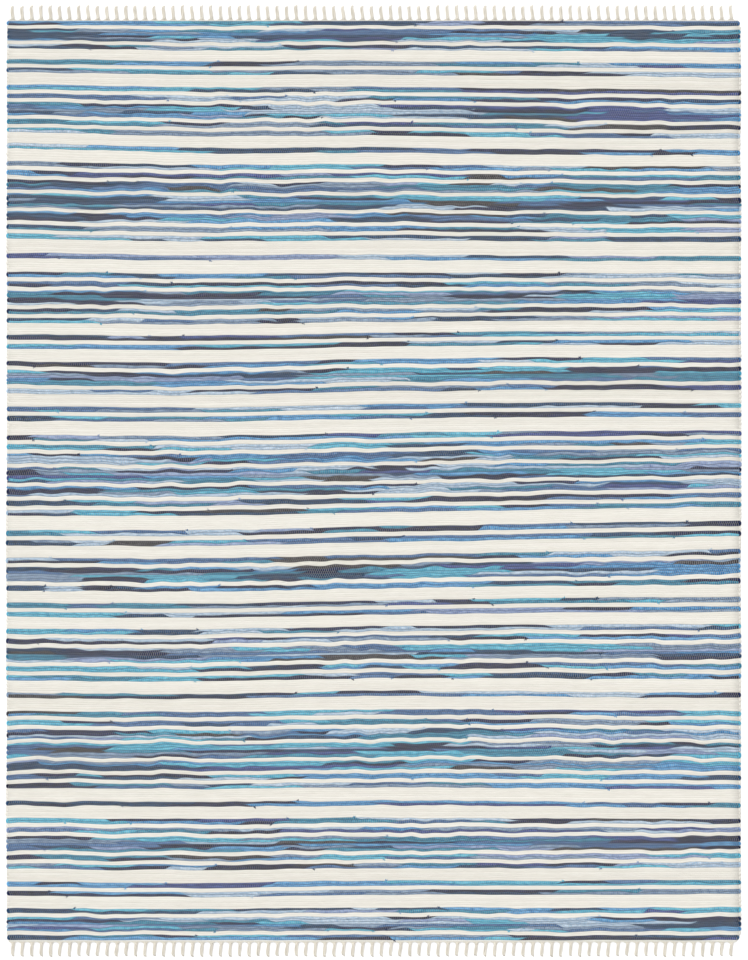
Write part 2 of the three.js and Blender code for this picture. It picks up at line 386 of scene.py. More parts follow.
# A closed ring of points carried along a path: each ring is the path's point, plus wide
# times the section's first number sideways, plus high times its second number upwards.
# Sideways is the reference direction crossed with the path's own. Facing gives the first
# and the last ring's directions where the path's own steps don't.
def sweep(path, wide, high, section=yarnSection, reference=(0.0, 0.0, 1.0), facing=None):
    along = np.gradient(path, axis=0)
    if facing is not None:
        along[0], along[-1] = facing
    along /= np.linalg.norm(along, axis=1, keepdims=True)
    side = np.cross(np.array(reference), along)
    side /= np.linalg.norm(side, axis=1, keepdims=True)
    up = np.cross(along, side)
    wide = np.broadcast_to(wide, len(path))[:, None, None]
    high = np.broadcast_to(high, len(path))[:, None, None]
    return (
        path[:, None, :]
        + wide * section[None, :, :1] * side[:, None, :]
        + high * section[None, :, 1:] * up[:, None, :]
    )


# One swept yarn with what its material and its maps need: u is the weave map's number at
# each ring, and underShift how far ahead it runs on the yarn's underside.
def tube(rings, u, lot=0.5, underShift=0.5):
    return {"rings": rings, "u": np.asarray(u, float), "lot": lot, "under": underShift}


# the bake map: the yarns' rows below, with a margin round each, and their ends on top
bakeMap = {
    "girth": 0.022,  # of a usual yarn, for how many rows there are
    "margin": 0.002,
    "rowsHigh": 0.94,
    "rowMargin": 0.08,
    "rowFill": 0.84,
    "endsLow": 0.943,
    "endsHigh": 0.055,
    "endRadius": 0.4,
    "endsAcross": 17,  # how many times more ends lie side by side than one above another
}


# The yarns of one piece as one mesh. A face spans two rings and two neighbouring points
# of the section, and a flat face closes each end. The weave map runs along the yarn and
# round it. The bake map lays the unrolled yarns in rows, the ends in a strip on top.
def buildPiece(name, tubes, material):
    sides = tubes[0]["rings"].shape[1]
    step = np.arange(sides)
    following = (step + 1) % sides
    places, quads, caps, weave, lots, lengths = [], [], [], [], [], []
    base = 0
    for item in tubes:
        rings, u = item["rings"], item["u"]
        count = len(rings)
        places.append(rings.reshape(-1, 3))
        at = base + np.arange(count - 1)[:, None] * sides
        corners = [at + step, at + following, at + sides + following, at + sides + step]
        quads.append(np.stack(corners, axis=-1).reshape(-1, 4))
        caps.append(np.stack([base + step[::-1], base + (count - 1) * sides + step]))
        under = np.where(step * 2 >= sides, item["under"], 0.0)
        low, high = u[:-1, None] + under, u[1:, None] + under
        v = np.broadcast_to(step / sides, low.shape)
        corner = [(low, v), (low, v + 1 / sides), (high, v + 1 / sides), (high, v)]
        weave.append(np.stack([np.stack(c, axis=-1) for c in corner], axis=-2).reshape(-1, 4, 2))
        lots.append(np.full(count * sides, item["lot"]))
        middle = rings.mean(axis=1)
        lengths.append(np.linalg.norm(np.diff(middle, axis=0), axis=1))
        base += count * sides
    places = np.concatenate(places) + planShift
    quads = np.concatenate(quads)
    caps = np.concatenate(caps)
    weave = np.concatenate(weave)

    # bake map: the yarns end to end, cut into rows of one length, a hair over their share
    spans = np.concatenate(lengths)
    start = np.concatenate([[0], np.cumsum(spans)[:-1]])
    rows = max(4, int(np.ceil(np.sqrt(spans.sum() / bakeMap["girth"]))))
    rowLength = spans.sum() / rows * 1.0001
    row = np.floor(start / rowLength)
    overrun = spans.max()
    left = (start - row * rowLength) / (rowLength + overrun)
    right = left + spans / (rowLength + overrun)
    rowHeight = bakeMap["rowsHigh"] / rows
    margin = bakeMap["margin"]
    left, right = (margin + (1 - 2 * margin) * np.repeat(x, sides) for x in (left, right))
    foot = np.repeat(row * rowHeight, sides) + rowHeight * bakeMap["rowMargin"]
    rise = rowHeight * bakeMap["rowFill"] / sides
    turn = np.tile(step, len(spans)) * rise
    low, high = foot + turn, foot + turn + rise
    corner = [(left, low), (left, high), (right, high), (right, low)]
    bake = np.stack([np.stack(c, axis=-1) for c in corner], axis=-2)

    # the flat ends, each in a cell of its own
    across = int(np.ceil(np.sqrt(len(caps) * bakeMap["endsAcross"])))
    cell = np.arange(len(caps))
    angle = 2 * np.pi * step / sides
    ring = np.stack([np.cos(angle), np.sin(angle)], axis=-1) * bakeMap["endRadius"]
    down = int(np.ceil(len(caps) / across))
    centre = np.stack([cell % across + 0.5, cell // across + 0.5], axis=-1)
    capBake = (centre[:, None] + ring[None]) / [across, down]
    capBake = capBake * [1, bakeMap["endsHigh"]] + [0, bakeMap["endsLow"]]
    flat = np.array([0.5, 0.5])

    mesh = bpy.data.meshes.new(name)
    mesh.vertices.add(len(places))
    mesh.vertices.foreach_set("co", places.astype(np.float32).ravel())
    mesh.loops.add(quads.size + caps.size)
    mesh.loops.foreach_set("vertex_index", np.concatenate([quads.ravel(), caps.ravel()]))
    mesh.polygons.add(len(quads) + len(caps))
    starts = np.concatenate(
        [np.arange(len(quads)) * 4, quads.size + np.arange(len(caps)) * sides]
    )
    mesh.polygons.foreach_set("loop_start", starts)
    mesh.polygons.foreach_set("use_smooth", np.arange(len(starts)) < len(quads))
    mesh.update(calc_edges=True)
    for mapName, quadPart, capPart in (
        ("weave", weave, np.broadcast_to(flat, (len(caps), sides, 2))),
        ("OFBake", bake, capBake),
    ):
        layer = mesh.uv_layers.new(name=mapName)
        values = np.concatenate([quadPart.reshape(-1, 2), capPart.reshape(-1, 2)])
        layer.uv.foreach_set("vector", values.astype(np.float32).ravel())
    mesh.attributes.new("lot", "FLOAT", "POINT").data.foreach_set(
        "value", np.concatenate(lots).astype(np.float32)
    )
    mesh.validate()
    piece = bpy.data.objects.new(name, mesh)
    bpy.context.scene.collection.objects.link(piece)
    mesh.materials.append(material)
    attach(piece, "root")
    triangles = len(quads) * 2 + len(caps) * (sides - 2)
    print(" ", name, len(tubes), "yarns,", triangles, "triangles")
    return piece, triangles


# the head and foot edges of a pick's room at each x
def pickRoom(index, x):
    head = np.interp(x, gridX, lines[index])
    foot = np.interp(x, gridX, lines[index + 1])
    return head, foot


# the picks' turns at the selvedges, and the rounded ends of those that don't turn
turns = {
    "room": 0.0075,
    "rings": 10,
    "height": 0.93,  # as a share of the run's, which covers the turn's start
    "intoRun": 0.0008,
    "leastReach": 0.002,
    "groundSpread": 1.2,
    "ragSpread": 1.0,
    "floats": (0.02, 0.36),  # the last warp crosses at the turn's foot, so none shows on it
    "unevenness": 0.0005,
}
freeEnd = {"length": 0.004, "rings": (0.0008, 0.002, 0.004), "closest": 0.0007}

# where each pick ends at the two selvedges
pickEnds = []
for index in range(pickCount):
    middle = (pickEdges[index] + pickEdges[index + 1]) / 2
    uneven = turns["unevenness"]
    pickEnds.append([selvedgeAt(middle, side) + rng.normal(0, uneven) for side in (-1, 1)])


# A pick's turn at the selvedge: half a flattened circle from one pick's middle to the
# next one's, thick as the first pick where it starts and as the second where it ends.
def makeTurn(index, side, halfHeight, lot, spread):
    column = 0 if side < 0 else 1
    edge = (pickEnds[index][column] + pickEnds[index + 1][column]) / 2
    x = edge - side * turns["room"]
    (head, middle), foot = pickRoom(index, x), pickRoom(index + 1, x)[1]
    upper, lower = (head + middle) / 2, (middle + foot) / 2
    count = turns["rings"]
    t = np.linspace(0, 1, count) if side > 0 else np.linspace(1, 0, count)
    wide = ((head - middle) * (1 - t) + (middle - foot) * t) / 2 * spread
    angle = np.pi * (0.5 - t)
    reach = np.maximum(turns["room"] - wide, turns["leastReach"])
    path = np.stack(
        [
            x + side * reach * np.cos(angle),
            (upper + lower) / 2 + (upper - lower) / 2 * np.sin(angle),
            np.full(count, cloth["middleHeight"]),
        ],
        axis=-1,
    )
    # it starts and ends along the runs that it joins, a little inside them
    path[[0, -1], 0] -= side * turns["intoRun"]
    facing = np.array([[side, 0.0, 0.0], [-side, 0.0, 0.0]])
    rings = sweep(path, wide, halfHeight * turns["height"], facing=facing)
    return tube(rings, np.linspace(*turns["floats"], count), lot)


# Places along a run: even steps, closer ones through each taper and at a free end.
def runSteps(low, high, step, tapers, freeLow, freeHigh):
    count = max(2, int(np.ceil((high - low) / step)) + 1)
    close = [np.linspace(low, high, count)]
    close += [np.linspace(a, b, 5) for a, b in tapers]
    if freeLow:
        close.append(low + np.array(freeEnd["rings"]))
    if freeHigh:
        close.append(high - np.array(freeEnd["rings"]))
    places = np.unique(np.clip(np.concatenate(close), low, high))
    places = places[np.concatenate([[True], np.diff(places) > freeEnd["closest"]])]
    places[-1] = high
    return places


# A straight run of a pick. Its section fills the part of the pick's room between two
# shares, 0 at the head edge and 1 at the foot edge, and a free end is rounded off.
def makeRun(index, x, headShare, footShare, halfHeight, lot, spread, freeLow, freeHigh):
    head, foot = pickRoom(index, x)
    top = head + (foot - head) * headShare
    bottom = head + (foot - head) * footShare
    near = np.ones(len(x))
    if freeLow:
        near = np.minimum(near, (x - x[0]) / freeEnd["length"])
    if freeHigh:
        near = np.minimum(near, (x[-1] - x) / freeEnd["length"])
    rounding = np.sqrt(np.clip(1 - (1 - near) ** 2, 0.1, 1))
    wide = (top - bottom) / 2 * spread * rounding
    # where it narrows it also gets lower, down to about a third of its height
    high = halfHeight * (0.35 + 0.65 * np.sqrt(np.clip(footShare - headShare, 0.02, 1)))
    path = np.stack([x, (top + bottom) / 2, np.full(len(x), cloth["middleHeight"])], axis=-1)
    rings = sweep(path, np.maximum(wide, 0.0003), high * rounding)
    floatsPassed = (x - cloth["floatsFrom"]) / cloth["warpPitch"]
    return tube(rings, floatsPassed + 0.5 * (index % 2), lot)


# Whether a pick turns back to a neighbour at a selvedge, and to the one before or after
# it: in pairs from the first on the right, from the second on the left. Two picks that
# are alone in their band make a ring.
def turnAt(pick, side):
    lane, count = pick["lane"], pick["of"]
    if count == 2:
        return 1 - 2 * lane
    first = lane % 2 == (0 if side > 0 else 1)
    partner = lane + (1 if first else -1)
    return partner - lane if 0 <= partner < count else 0


# a rag's end that pokes out of its band
tuft = {
    "share": 0.22,  # of all ends
    "root": 0.002,  # inside the band's edge
    "reach": 0.0058,
    "reachShare": (0.6, 1.25),
    "lean": 0.0035,
    "parting": 0.0022,
    "fan": (0.002, 0.005),
    "rise": 0.0019,
    "layer": 0.0004,
    "bow": 0.0007,
    "halfWidth": (0.0011, 0.0017),
    "halfHeight": 0.0008,
}


# Two cut strips that lie on the ground beside the band. Each leans and fans out as it
# goes, bows up in its middle and widens to its tip.
def makeTuft(x, y, direction, lot):
    tubes = []
    t = np.linspace(0, 1, 5)
    lean = rng.uniform(-tuft["lean"], tuft["lean"])
    for number in range(2):
        reach = tuft["reach"] * rng.uniform(*tuft["reachShare"])
        slant = lean + (number - 0.5) * rng.uniform(*tuft["fan"])
        height = tuft["rise"] + tuft["layer"] * number + tuft["bow"] * np.sin(np.pi * t)
        path = np.stack(
            [
                x + (number - 0.5) * tuft["parting"] + slant * t**1.5,
                y + direction * reach * t,
                cloth["middleHeight"] + height,
            ],
            axis=-1,
        )
        wide = rng.uniform(*tuft["halfWidth"]) * (0.8 + 0.35 * t)
        tubes.append(tube(sweep(path, wide, tuft["halfHeight"]), 0.02 + 0.3 * t, lot))
    return tubes


# One pick of ground from selvedge to selvedge, with its turn to the next pick.
def weaveGround(index, pick):
    low, high = pickEnds[index]
    toNext = turnAt(pick, -1), turnAt(pick, 1)
    low += turns["room"] if toNext[0] else groundYarn["bareEnd"]
    high -= turns["room"] if toNext[1] else groundYarn["bareEnd"]
    lot, half, spread = rng.uniform(), groundYarn["halfHeight"], groundYarn["spread"]
    free = not toNext[0], not toNext[1]
    x = runSteps(low, high, groundYarn["step"], [], *free)
    share = np.zeros(len(x)), np.ones(len(x))
    made = [makeRun(index, x, *share, half, lot, spread, *free)]
    for side, turn in zip((-1, 1), toNext):
        if turn == 1:
            made.append(makeTurn(index, side, half, lot, turns["groundSpread"]))
    return made


# One pick of a band of rag. Where a strip ends, the next is laid in beside it: over the
# overlap the first narrows to nothing on one side of the pick and the other grows.
def weaveRags(index, pick):
    made = []
    runs = pick["runs"]
    half, spread = ragStrips["halfHeight"], ragStrips["spread"]
    toNext = turnAt(pick, -1), turnAt(pick, 1)
    edges = [
        pickEnds[index][0] + (turns["room"] if toNext[0] else ragStrips["bareEnd"]),
        pickEnds[index][1] - (turns["room"] if toNext[1] else ragStrips["bareEnd"]),
    ]
    joins = []
    for before, after in zip(runs, runs[1:]):
        room = ragStrips["overlapShare"] * min(before[1] - before[0], after[1] - after[0])
        overlap = min(rng.uniform(*ragStrips["overlap"]), room)
        joins.append((after[0] - overlap / 2, after[0] + overlap / 2, rng.random() < 0.5))
    for number, (_, _, kind, lot, _) in enumerate(runs):
        first, last = number == 0, number == len(runs) - 1
        low = edges[0] if first else joins[number - 1][0]
        high = edges[1] if last else joins[number][1]
        free = first and not toNext[0], last and not toNext[1]
        tapers = joins[max(number - 1, 0) : number + 1]
        x = runSteps(low, high, ragStrips["step"], [join[:2] for join in tapers], *free)
        headShare, footShare = np.zeros(len(x)), np.ones(len(x))
        for place, (a, b, headFirst) in enumerate(tapers):
            grown = np.clip((x - a) / (b - a), 0, 1)
            grown = grown * grown * (3 - 2 * grown)
            if first or place == 1:  # this strip ends here, so the head side may close on it
                if headFirst:
                    headShare = np.maximum(headShare, grown)
                else:
                    footShare = np.minimum(footShare, 1 - grown)
            elif headFirst:
                footShare = np.minimum(footShare, grown)
            else:
                headShare = np.maximum(headShare, 1 - grown)
        made.append((kind, makeRun(index, x, headShare, footShare, half, lot, spread, *free)))
        if not last and rng.random() < tuft["share"]:
            place = rng.uniform(*joins[number][:2])
            head, foot = pickRoom(index, place)
            atHead = pick["lane"] < pick["of"] / 2
            y = head - tuft["root"] if atHead else foot + tuft["root"]
            made += [(kind, item) for item in makeTuft(place, y, 1 if atHead else -1, lot)]
    for side, turn, (_, _, kind, lot, _) in zip((-1, 1), toNext, (runs[0], runs[-1])):
        if turn == 1:
            made.append((kind, makeTurn(index, side, half, lot, turns["ragSpread"])))
    return made


groundTubes = []
ragTubes = [[] for _ in clothNames]
for index, pick in enumerate(picks):
    if pick["kind"] == "ground":
        groundTubes += weaveGround(index, pick)
    else:
        for kind, item in weaveRags(index, pick):
            ragTubes[kind].append(item)
print("picks woven")


# sRGB numbers up to 255 as the linear colour that shaders read
def paint(r, g, b):
    c = np.array([r, g, b]) / 255
    linear = np.where(c <= 0.04045, c / 12.92, ((c + 0.055) / 1.055) ** 2.4)
    return (*[float(x) for x in linear], 1.0)


# values may be plain ones or the sockets to link from
def newNode(tree, kind, values=None, **settings):
    node = tree.nodes.new(kind)
    for key, value in settings.items():
        setattr(node, key, value)
    for key, value in (values or {}).items():
        if isinstance(value, bpy.types.NodeSocket):
            tree.links.new(value, node.inputs[key])
        else:
            node.inputs[key].default_value = value
    return node


def doMath(tree, operation, a, b=0.0, c=0.0, clamp=False):
    values = {0: a, 1: b, 2: c}
    return newNode(tree, "ShaderNodeMath", values, operation=operation, use_clamp=clamp).outputs[0]


def mixColour(tree, factor, a, b):
    values = {0: factor, 6: a, 7: b}
    return newNode(tree, "ShaderNodeMix", values, data_type="RGBA").outputs[2]


def remap(tree, value, low, high, start=0.0, end=1.0):
    values = {"Value": value, "From Min": low, "From Max": high, "To Min": start, "To Max": end}
    kind = "ShaderNodeMapRange"
    return newNode(tree, kind, values, interpolation_type="SMOOTHSTEP").outputs[0]


def newGroup(name, inputs, outputs):
    group = bpy.data.node_groups.new(name, "ShaderNodeTree")
    for label, value in inputs.items():
        kind = "NodeSocketVector" if value is None else "NodeSocketFloat"
        socket = group.interface.new_socket(label, in_out="INPUT", socket_type=kind)
        if value is not None:
            socket.default_value = value
    for label in outputs:
        group.interface.new_socket(label, in_out="OUTPUT", socket_type="NodeSocketFloat")
    return group, group.nodes.new("NodeGroupInput").outputs, group.nodes.new("NodeGroupOutput")


def useGroup(tree, group, values):
    return newNode(tree, "ShaderNodeGroup", values, node_tree=group).outputs


# the sum of the parts, each times its weight
def weighSum(tree, parts, weights, total=0.0):
    for part, weight in zip(parts, weights):
        total = doMath(tree, "MULTIPLY_ADD", part, weight, total)
    return total


# the height as relief: distance is how far apart its 0 and 1 lie, in metres
def addRelief(tree, shader, height, distance, strength):
    values = {"Height": height, "Distance": distance, "Strength": strength}
    tree.links.new(newNode(tree, "ShaderNodeBump", values).outputs[0], shader.inputs["Normal"])


# The warp where it floats over a pick, one float in every whole step of the weave map's
# first number. Float is 1 on the yarn and 0 beside it, Round is its rounded height, Shade
# falls from 1 to 0 close beside it, and Puff is how far the pick swells between floats.
def makeWarpFloats():
    inputs = {"Weave": None, "Width": 0.15, "Jitter": 0.1}
    group, given, out = newGroup("warpFloats", inputs, ["Float", "Round", "Shade", "Puff"])
    place = newNode(group, "ShaderNodeTexCoord").outputs["Object"]
    values = {"Vector": place, "Scale": 60.0, "Detail": 1.0}
    drift = newNode(group, "ShaderNodeTexNoise", values).outputs["Fac"]
    drift = doMath(group, "SUBTRACT", drift, 0.5)
    along = newNode(group, "ShaderNodeSeparateXYZ", {0: given["Weave"]}).outputs[0]
    along = doMath(group, "MULTIPLY_ADD", drift, given["Jitter"], along)
    away = doMath(group, "ABSOLUTE", doMath(group, "SUBTRACT", doMath(group, "FRACT", along), 0.5))
    share = doMath(group, "DIVIDE", away, doMath(group, "MULTIPLY", given["Width"], 0.5))
    squared = doMath(group, "MULTIPLY", share, share)
    bow = doMath(group, "SQRT", doMath(group, "SUBTRACT", 1.0, squared, clamp=True))
    group.links.new(remap(group, share, 0.8, 1.15, 1.0, 0.0), out.inputs["Float"])
    group.links.new(bow, out.inputs["Round"])
    group.links.new(remap(group, share, 0.9, 2.4, 1.0, 0.0), out.inputs["Shade"])
    group.links.new(doMath(group, "MULTIPLY", away, 2.0), out.inputs["Puff"])
    return group


# A strip of folded cloth or a slubby yarn. Tone is its light and dark along the strip,
# Folds the height of the creases that run along it, and Grain its own fine weave.
def makeStripCloth():
    inputs = {"Weave": None, "Lot": 0.5, "Stretch": 0.6, "Creases": 6.0, "Fine": 1400.0}
    group, given, out = newGroup("stripCloth", inputs, ["Tone", "Folds", "Grain"])
    parts = newNode(group, "ShaderNodeSeparateXYZ", {0: given["Weave"]}).outputs
    offset = doMath(group, "MULTIPLY", given["Lot"], 61.0)
    along = doMath(group, "MULTIPLY_ADD", parts[0], given["Stretch"], offset)
    turn = doMath(group, "MULTIPLY", parts[1], given["Creases"])
    point = newNode(group, "ShaderNodeCombineXYZ", {0: along, 1: turn, 2: offset}).outputs[0]
    values = {"Vector": point, "Scale": 1.0, "Detail": 3.0, "Roughness": 0.75}
    tone = newNode(group, "ShaderNodeTexNoise", values).outputs["Fac"]
    values = {"Vector": point, "Scale": 1.7, "Detail": 3.0, "Distortion": 0.6}
    fold = newNode(group, "ShaderNodeTexNoise", values).outputs["Fac"]
    place = newNode(group, "ShaderNodeTexCoord").outputs["Object"]
    values = {"Vector": place, "Scale": given["Fine"], "Detail": 2.0}
    grain = newNode(group, "ShaderNodeTexNoise", values).outputs["Fac"]
    group.links.new(remap(group, tone, 0.32, 0.68), out.inputs["Tone"])
    group.links.new(fold, out.inputs["Folds"])
    group.links.new(grain, out.inputs["Grain"])
    return group


warpFloats = makeWarpFloats()
stripCloth = makeStripCloth()


# a rough cloth material, with the weave map and the lot number ready to use
def startMaterial(name, roughness):
    material = bpy.data.materials.new(name)
    material.use_nodes = True
    tree = material.node_tree
    shader = tree.nodes["Principled BSDF"]
    shader.inputs["Roughness"].default_value = roughness
    shader.inputs["Specular IOR Level"].default_value = 0.15
    weave = newNode(tree, "ShaderNodeUVMap", uv_map="weave").outputs[0]
    lot = newNode(tree, "ShaderNodeAttribute", attribute_name="lot").outputs["Fac"]
    return material, tree, shader, weave, lot


# the undyed warp that shows over the rags
warpCotton = {"shade": (176, 172, 163), "lit": (214, 210, 201), "width": 0.12, "jitter": 0.06}
ragLook = {
    "roughness": 0.93,
    "stretch": 0.45,
    "toneFrom": -0.35,
    "tone": (0.3, 1.0, 0.4),  # from the lot, the strip's own tone and its grain
    "creases": (0.48, 0.36),  # folds as low as this count as a crease, none to full
    "creaseShade": 0.6,
    "darkest": 0.45,  # how far the shade in a crease or beside a float goes to black
    "relief": (0.6, 0.5, 1.6, 0.15),  # from the puff, the round float, folds and grain
    "distance": 0.0014,
    "strength": 0.8,
}
cottonLook = {
    "roughness": 0.95,
    "stretch": 0.12,
    "creases": 3.0,
    "fine": 1800.0,
    "tone": (0.6, 0.4),  # from the lot and the yarn's own tone
    "relief": (0.12, 0.5),  # from grain and folds
    "floatRelief": (0.35, 0.5),  # from the puff and the round float
    "plyRelief": 0.3,
    "distance": 0.0010,
    "strength": 0.7,
}


# one cloth's strips with the warp floating over them
def makeRagMaterial(name, tones):
    look = ragLook
    material, tree, shader, weave, lot = startMaterial(name, look["roughness"])
    values = {"Weave": weave, "Width": warpCotton["width"], "Jitter": warpCotton["jitter"]}
    floats = useGroup(tree, warpFloats, values)
    values = {"Weave": weave, "Lot": lot, "Stretch": look["stretch"]}
    strip = useGroup(tree, stripCloth, values)
    parts = lot, strip["Tone"], strip["Grain"]
    tone = weighSum(tree, parts, look["tone"], look["toneFrom"])
    rag = mixColour(tree, tone, paint(*tones["dark"]), paint(*tones["light"]))
    # painted shade: the rag is mixed towards black deep in a crease and close beside a float
    crease = remap(tree, strip["Folds"], *look["creases"])
    crease = doMath(tree, "MULTIPLY", crease, look["creaseShade"])
    paintedShade = doMath(tree, "MAXIMUM", crease, floats["Shade"])
    shaded = mixColour(tree, look["darkest"], rag, (0.0, 0.0, 0.0, 1.0))
    rag = mixColour(tree, paintedShade, rag, shaded)
    lit, shade = paint(*warpCotton["lit"]), paint(*warpCotton["shade"])
    yarn = mixColour(tree, strip["Grain"], shade, lit)
    colour = mixColour(tree, floats["Float"], rag, yarn)
    tree.links.new(colour, shader.inputs["Base Color"])
    parts = floats["Puff"], floats["Round"], strip["Folds"], strip["Grain"]
    height = weighSum(tree, parts, look["relief"])
    addRelief(tree, shader, height, look["distance"], look["strength"])
    return material


# Undyed cotton, from its darker to its lighter tone. Floats is how wide the warp's floats
# stand out in its relief, strands how many strands run along it, and plies how often its
# two plies wind round it in one step of the weave map. Each is left out where it is 0.
def makeCottonMaterial(name, shade, lit, floats=0.0, plies=0.0, strands=0.0):
    look = cottonLook
    material, tree, shader, weave, lot = startMaterial(name, look["roughness"])
    values = {
        "Weave": weave,
        "Lot": lot,
        "Stretch": look["stretch"],
        "Creases": look["creases"],
        "Fine": look["fine"],
    }
    strip = useGroup(tree, stripCloth, values)
    tone = weighSum(tree, (lot, strip["Tone"]), look["tone"])
    colour = mixColour(tree, tone, paint(*shade), paint(*lit))
    height = weighSum(tree, (strip["Grain"], strip["Folds"]), look["relief"])
    if floats:
        values = {"Weave": weave, "Width": floats, "Jitter": warpCotton["jitter"]}
        over = useGroup(tree, warpFloats, values)
        height = weighSum(tree, (over["Puff"], over["Round"]), look["floatRelief"], height)
    if plies or strands:
        parts = newNode(tree, "ShaderNodeSeparateXYZ", {0: weave}).outputs
        around = doMath(tree, "MULTIPLY", parts[1], 2.0 if plies else strands)
        winding = doMath(tree, "MULTIPLY_ADD", parts[0], plies, around)
        ply = doMath(tree, "SINE", doMath(tree, "MULTIPLY", winding, 2 * np.pi))
        height = weighSum(tree, [ply], [look["plyRelief"]], height)
    tree.links.new(colour, shader.inputs["Base Color"])
    addRelief(tree, shader, height, look["distance"], look["strength"])
    return material


ragMaterials = [makeRagMaterial("rag_" + name, tones) for name, tones in ragCloths.items()]
groundMaterial = makeCottonMaterial(
    "ground_cotton", (206, 202, 193), (220, 217, 209), floats=0.16, strands=6.0
)
fringeMaterial = makeCottonMaterial("fringe_cotton", (201, 195, 183), (221, 216, 204), plies=0.9)
warpMaterial = makeCottonMaterial("warp_cotton", (196, 191, 181), (214, 210, 200))
print("materials made")

triangleCount = 0
third = int(np.ceil(len(groundTubes) / 3))
shares = [("rags_" + name, ragTubes[n], ragMaterials[n]) for n, name in enumerate(clothNames)]
for place, name in enumerate(("ground_head", "ground_middle", "ground_foot")):
    shares.append((name, groundTubes[place * third : (place + 1) * third], groundMaterial))
for name, tubes, material in shares:
    piece, count = buildPiece(name, tubes, material)
    triangleCount += count

# the warp's own layer, seen only in the grooves between the picks
warpLayer = {
    "halfThickness": 0.0007,
    "rows": 120,
    "columns": 12,
    "inside": 0.002,  # of the selvedges
    "short": 0.0005,  # of the last picks' edges
    "mapStep": 0.05,  # along the rug, for one step of its weave map
}


# a thin closed sheet whose sides follow the selvedges a little inside the turns
def buildWarpLayer():
    rows, columns, thin = warpLayer["rows"], warpLayer["columns"], warpLayer["halfThickness"]
    last = weftEnd - warpLayer["short"]
    y = np.linspace(last, -last, rows)
    left = np.array([selvedgeAt(v, -1) for v in y])[:, None] + warpLayer["inside"]
    right = np.array([selvedgeAt(v, 1) for v in y])[:, None] - warpLayer["inside"]
    x = left + (right - left) * np.linspace(0, 1, columns)
    y = np.broadcast_to(y[:, None], x.shape)
    layers = [
        np.stack([x, y, np.full(x.shape, cloth["middleHeight"] + rise)], axis=-1)
        for rise in (thin, -thin)
    ]
    places = np.concatenate([layer.reshape(-1, 3) for layer in layers]) + planShift
    number = np.arange(rows * columns).reshape(rows, columns)
    corners = [number[:-1, :-1], number[1:, :-1], number[1:, 1:], number[:-1, 1:]]
    upper = np.stack([c.ravel() for c in corners], axis=-1)
    lower = upper[:, ::-1] + rows * columns
    rim = [number[:, 0], number[-1, 1:], number[-2::-1, -1], number[0, -2:0:-1]]
    rim = np.concatenate(rim)
    after = np.roll(rim, -1)
    sides = np.stack([after, rim, rim + rows * columns, after + rows * columns], axis=-1)
    mesh = bpy.data.meshes.new("warp_layer")
    mesh.from_pydata(places.tolist(), [], np.concatenate([upper, lower, sides]).tolist())
    layer = mesh.uv_layers.new(name="weave")
    at = np.array([loop.vertex_index for loop in mesh.loops])
    spots = places[at, :2] / [cloth["warpPitch"], warpLayer["mapStep"]]
    layer.uv.foreach_set("vector", spots.astype(np.float32).ravel())
    piece = bpy.data.objects.new("warp_layer", mesh)
    bpy.context.scene.collection.objects.link(piece)
    mesh.materials.append(warpMaterial)
    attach(piece, "root")
    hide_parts("field")
    return piece


warpPiece = buildWarpLayer()

# the fringe: warp ends drawn together in knots, their loose ends lying on the floor
fringe = {
    "count": 77,
    "pitch": 0.03136,
    "first": {"head": -1.199, "foot": -1.198},
    "yarns": 9,
    "warpSpacing": 0.00335,
    "root": 0.0017,  # how far to the right of its place a tassel is tied
    "length": 0.0445,
    "lengthSpread": 0.0018,
    "leanSpread": 0.0014,
    "bundle": 0.0026,  # half a knotted bundle's width
}
gather = {"inCloth": 0.0045, "underKnot": 0.0020, "height": 0.0033, "rise": 0.0008, "radius": 0.0012}
knot = {
    "out": 0.0050,
    "halfWidth": 0.0044,
    "halfHeight": 0.0024,
    "length": 0.0056,
    "height": 0.0045,
    "windings": 2.1,
    "from": 0.6,  # the first winding's angle
    "radius": 0.0017,
}
looseEnd = {
    "start": 0.001,  # past the knot's middle
    "unevenness": 0.0014,
    "slant": 0.0015,  # how much further out the right side reaches than the middle
    "spread": 0.0037,
    "tipSpread": 0.0008,
    "wiggle": 0.0008,
    "leftward": 0.0036,
    "hook": 0.0020,
    "upper": (0.0057, 0.0039),  # height at the knot and further out
    "lower": (0.0034, 0.0016),
    "tipDrop": 0.0011,  # of the upper ends
    "radius": 0.00145,
}


# Short pieces of warp that leave the cloth side by side and run together into the knot.
def makeGather(offset):
    t = np.linspace(0, 1, 4)
    ease = t * t * (3 - 2 * t)
    start = offset * fringe["warpSpacing"] * (fringe["yarns"] - 1) / 2
    end = fringe["root"] + offset * fringe["bundle"]
    out = np.linspace(-gather["inCloth"], knot["out"] - gather["underKnot"], 4)
    height = gather["height"] + gather["rise"] * ease
    path = np.stack([start + (end - start) * ease, out, height], axis=-1)
    radius = gather["radius"]
    return sweep(path, radius, radius, roundSection), t * 1.5


# The knot: a cord wound round the bundle in an oval that is fullest halfway.
def makeKnot():
    t = np.linspace(0, 1, 19)
    angle = 2 * np.pi * knot["windings"] * t + knot["from"]
    swell = 0.75 + 0.25 * np.sin(np.pi * t)
    path = np.stack(
        [
            fringe["root"] + knot["halfWidth"] * swell * np.cos(angle),
            knot["out"] + knot["length"] * (t - 0.5),
            knot["height"] + knot["halfHeight"] * swell * np.sin(angle),
        ],
        axis=-1,
    )
    radius = knot["radius"]
    return sweep(path, radius, radius, roundSection, (0.0, 1.0, 0.0)), t * 9


